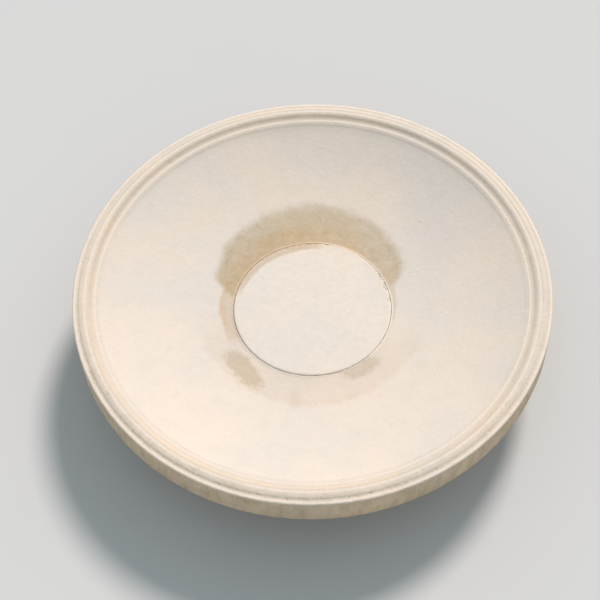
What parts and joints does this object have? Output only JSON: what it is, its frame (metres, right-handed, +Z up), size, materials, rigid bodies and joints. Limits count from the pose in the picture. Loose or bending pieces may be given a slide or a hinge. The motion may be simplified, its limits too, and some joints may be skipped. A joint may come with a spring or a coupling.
{
  "type": "bird bath",
  "caption": "Low cast-stone bird bath: a shallow round dish with a moulded rim and upright fascia, a loose flat stone at its centre, on a low round foot plinth.",
  "frame": {"origin": "middle of the plinth's flat underside, at ground level", "axes": "+Z up along the axis that the bowl, stone, dowel and plinth are turned about; the picture looks along +Y"},
  "size_m": [0.51, 0.51, 0.113],
  "materials": {
    "cast_stone": "matt, fine grained, weathered",
    "centre_stone": "matt, fine grained",
    "plinth_stone": "matt, weathered",
    "pad_rubber": "matt black",
    "dowel_steel": "drawn bar, dull"
  },
  "bodies": {
    "base": {"foot_plinth": "plinth_stone", "setting_pads": "pad_rubber"},
    "dowel": {"locating_dowel": "dowel_steel"},
    "bowl": {"bowl": "cast_stone"},
    "stone": {"centre_stone": "centre_stone"}
  },
  "joints": [
    {"name": "bowl_lift", "type": "slide", "parent": "base", "child": "dowel", "axis": [0, 0, 1], "range_m": [0, 0.12]},
    {"name": "bowl_turn", "type": "hinge", "parent": "dowel", "child": "bowl", "pos_m": [0, 0, 0.03], "axis": [0, 0, 1], "continuous": true},
    {"name": "stone_lift", "type": "slide", "parent": "bowl", "child": "stone", "axis": [0, 0, 1], "range_m": [0, 0.08]}
  ]
}
